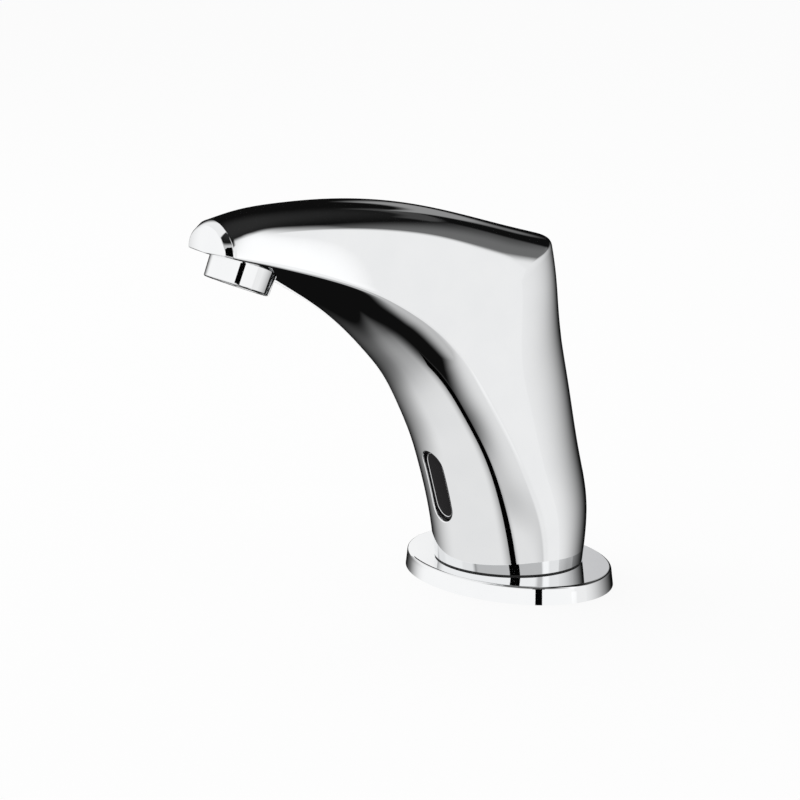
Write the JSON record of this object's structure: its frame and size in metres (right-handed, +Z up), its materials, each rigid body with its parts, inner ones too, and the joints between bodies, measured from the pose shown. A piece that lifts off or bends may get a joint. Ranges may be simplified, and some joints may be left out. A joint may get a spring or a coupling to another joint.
{
  "type": "sensor tap",
  "caption": "Deck-mounted automatic tap: one-piece arched chrome body on an oval deck plate, dark sensor window low on the column, tilted round outlet, valve and battery inside.",
  "frame": {"origin": "centre of the deck plate's underside, on the deck", "axes": "+Z up, -Y forwards under the spout, +X to the tap's left as seen from the user facing it from the front"},
  "size_m": [0.1094, 0.1898, 0.1724],
  "materials": {
    "body_chrome": "mirror polished chrome plate",
    "plate_chrome": "mirror polished chrome plate",
    "window": "polished, passes infrared light",
    "rubber": "matt",
    "brass": "machined",
    "steel": "zinc or stainless, fine brushed",
    "white_plastic": "moulded",
    "black_plastic": "moulded",
    "grey_plastic": "moulded",
    "winding": "taped copper winding",
    "board": "solder mask",
    "battery_skin": "plastic sleeve",
    "clear_plastic": "polished",
    "dark_lens": "polished",
    "red_lead": "soft",
    "black_lead": "soft"
  },
  "bodies": {
    "tap": {"tap_body": "body_chrome", "deck_plate": "plate_chrome", "deck_gasket": "rubber", "foot_gasket": "rubber", "base_plate": "brass", "base_screws": "steel", "inlet_union": "brass", "inlet_seal": "rubber", "inlet_filter": "steel", "check_valve_cage": "white_plastic", "check_valve_spring": "steel", "check_valve_cap": "white_plastic", "riser_pipe": "steel", "valve_body": "brass", "valve_diaphragm": "rubber", "valve_bonnet": "grey_plastic", "valve_screws": "steel", "plunger_guide": "steel", "plunger_spring": "steel", "solenoid_core": "steel", "solenoid_coil": "winding", "solenoid_yoke": "steel", "outlet_pipe_tube": "white_plastic", "pipe_seals": "rubber", "chassis": "steel", "chassis_screws": "steel", "battery_holder": "black_plastic", "battery": "battery_skin", "sensor_lens": "window", "sensor_gasket": "rubber", "sensor_housing": "black_plastic", "sensor_screws": "steel", "sensor_board": "board", "infrared_emitter": "clear_plastic", "infrared_receiver": "dark_lens", "sensor_cover": "black_plastic", "sensor_lead": "black_lead", "battery_lead": "red_lead"},
    "plunger": {"solenoid_plunger": "steel"},
    "diaphragm": {"diaphragm_insert": "white_plastic"},
    "check_poppet": {"check_valve_poppet": "white_plastic"},
    "aerator_cartridge": {"aerator_insert": "white_plastic", "aerator_screen": "steel", "aerator_washer": "rubber"},
    "collar": {"aerator_collar": "body_chrome"}
  },
  "joints": [
    {"name": "plunger_pull", "type": "slide", "parent": "tap", "child": "plunger", "axis": [0, -1, 0], "range_m": [0, 0.0025], "stiffness_N_per_m": 300, "springref_m": -0.004, "deforming": ["plunger_spring"]},
    {"name": "diaphragm_lift", "type": "slide", "parent": "tap", "child": "diaphragm", "axis": [0, -1, 0], "range_m": [0, 0.002], "deforming": ["valve_diaphragm"]},
    {"name": "check_lift", "type": "slide", "parent": "tap", "child": "check_poppet", "axis": [0, 0, 1], "range_m": [0, 0.002], "stiffness_N_per_m": 60, "springref_m": -0.003, "deforming": ["check_valve_spring"]},
    {"name": "aerator_drop", "type": "slide", "parent": "tap", "child": "aerator_cartridge", "axis": [0, -0.3763, -0.9265], "range_m": [0, 0.005]},
    {"name": "aerator_turn", "type": "hinge", "parent": "aerator_cartridge", "child": "collar", "pos_m": [0, -0.13255, 0.14859], "axis": [0, -0.3763, -0.9265], "range_deg": [0, 1800]}
  ],
  "couplings": [
    {"joint": "diaphragm_lift", "follows": "plunger_pull", "ratio": 0.8},
    {"joint": "aerator_turn", "follows": "aerator_drop", "rad_per_m": 6283.2}
  ]
}
